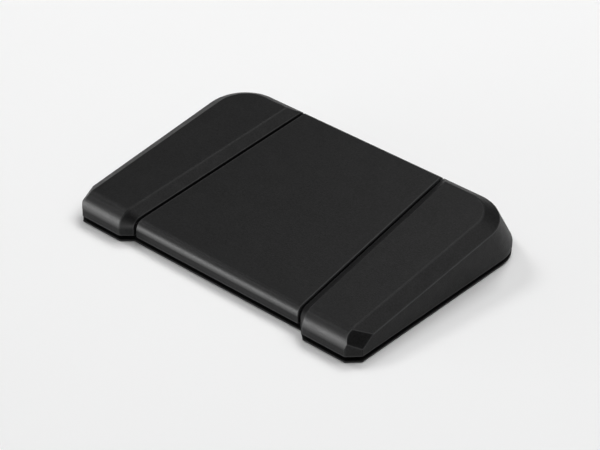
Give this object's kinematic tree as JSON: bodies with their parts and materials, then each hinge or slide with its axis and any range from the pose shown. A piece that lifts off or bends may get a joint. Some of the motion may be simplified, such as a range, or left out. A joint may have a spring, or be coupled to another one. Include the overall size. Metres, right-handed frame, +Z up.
{
  "type": "usb foot pedal switch",
  "caption": "Low wedge foot switch with side-by-side tilting pedals, sprung on a weighted base with a rear USB socket.",
  "frame": {"origin": "on the floor, in the middle of the footprint", "axes": "+X to the user's right, +Y away from the user towards the toe side, +Z up"},
  "size_m": [0.238, 0.17, 0.0382],
  "materials": {
    "pedal_shell": "fine matte grain",
    "coated_steel": "black powder coat",
    "rubber": "matt rubber",
    "screw_steel": "black zinc",
    "tray_plastic": "matt moulding",
    "bare_steel": "rolled steel",
    "spring_steel": "spring wire",
    "board_laminate": "solder mask",
    "chip_plastic": "moulded package",
    "ceramic_parts": "ceramic",
    "brass": "tinned brass",
    "socket_steel": "nickel plate",
    "bush_plastic": "acetal",
    "switch_plastic": "nylon",
    "stem_plastic": "acetal stem"
  },
  "bodies": {
    "base": {"base_plate": "coated_steel", "sole_pads": "rubber", "base_screws": "screw_steel", "chassis_tray": "tray_plastic", "end_stop_bumpers": "rubber", "ballast_plate": "bare_steel", "ballast_screws": "screw_steel", "rod_clips": "spring_steel", "control_board": "board_laminate", "board_screws": "screw_steel", "controller_chip": "chip_plastic", "board_parts": "ceramic_parts", "switch_pins": "brass", "usb_socket": "socket_steel", "usb_tongue": "chip_plastic", "port_bezel": "tray_plastic", "left_hinge_rod": "bare_steel", "left_switch_housing": "switch_plastic", "left_spring": "spring_steel", "centre_hinge_rod": "bare_steel", "centre_switch_housing": "switch_plastic", "centre_spring": "spring_steel", "right_hinge_rod": "bare_steel", "right_switch_housing": "switch_plastic", "right_spring": "spring_steel"},
    "left_pedal": {"left_pedal": "pedal_shell", "left_hinge_bushes": "bush_plastic", "left_spring_cap": "bush_plastic", "left_striker_pad": "rubber"},
    "left_stem": {"left_switch_stem": "stem_plastic"},
    "centre_pedal": {"centre_pedal": "pedal_shell", "centre_hinge_bushes": "bush_plastic", "centre_spring_cap": "bush_plastic", "centre_striker_pad": "rubber"},
    "centre_stem": {"centre_switch_stem": "stem_plastic"},
    "right_pedal": {"right_pedal": "pedal_shell", "right_hinge_bushes": "bush_plastic", "right_spring_cap": "bush_plastic", "right_striker_pad": "rubber"},
    "right_stem": {"right_switch_stem": "stem_plastic"}
  },
  "joints": [
    {"name": "left_pedal_tilt", "type": "hinge", "parent": "base", "child": "left_pedal", "pos_m": [0, -0.071, 0.0092], "axis": [-1, 0, 0], "range_deg": [0, 1], "stiffness_Nm_per_rad": 18, "springref_deg": -2.23, "deforming": ["left_spring"]},
    {"name": "left_stem_travel", "type": "slide", "parent": "base", "child": "left_stem", "axis": [0, 0, -1], "range_m": [0, 0.00259]},
    {"name": "centre_pedal_tilt", "type": "hinge", "parent": "base", "child": "centre_pedal", "pos_m": [0, -0.071, 0.0092], "axis": [-1, 0, 0], "range_deg": [0, 1], "stiffness_Nm_per_rad": 18, "springref_deg": -2.23, "deforming": ["centre_spring"]},
    {"name": "centre_stem_travel", "type": "slide", "parent": "base", "child": "centre_stem", "axis": [0, 0, -1], "range_m": [0, 0.00259]},
    {"name": "right_pedal_tilt", "type": "hinge", "parent": "base", "child": "right_pedal", "pos_m": [0, -0.071, 0.0092], "axis": [-1, 0, 0], "range_deg": [0, 1], "stiffness_Nm_per_rad": 18, "springref_deg": -2.23, "deforming": ["right_spring"]},
    {"name": "right_stem_travel", "type": "slide", "parent": "base", "child": "right_stem", "axis": [0, 0, -1], "range_m": [0, 0.00259]}
  ],
  "couplings": [
    {"joint": "left_stem_travel", "follows": "left_pedal_tilt", "m_per_rad": 0.114},
    {"joint": "centre_stem_travel", "follows": "centre_pedal_tilt", "m_per_rad": 0.114},
    {"joint": "right_stem_travel", "follows": "right_pedal_tilt", "m_per_rad": 0.114}
  ]
}
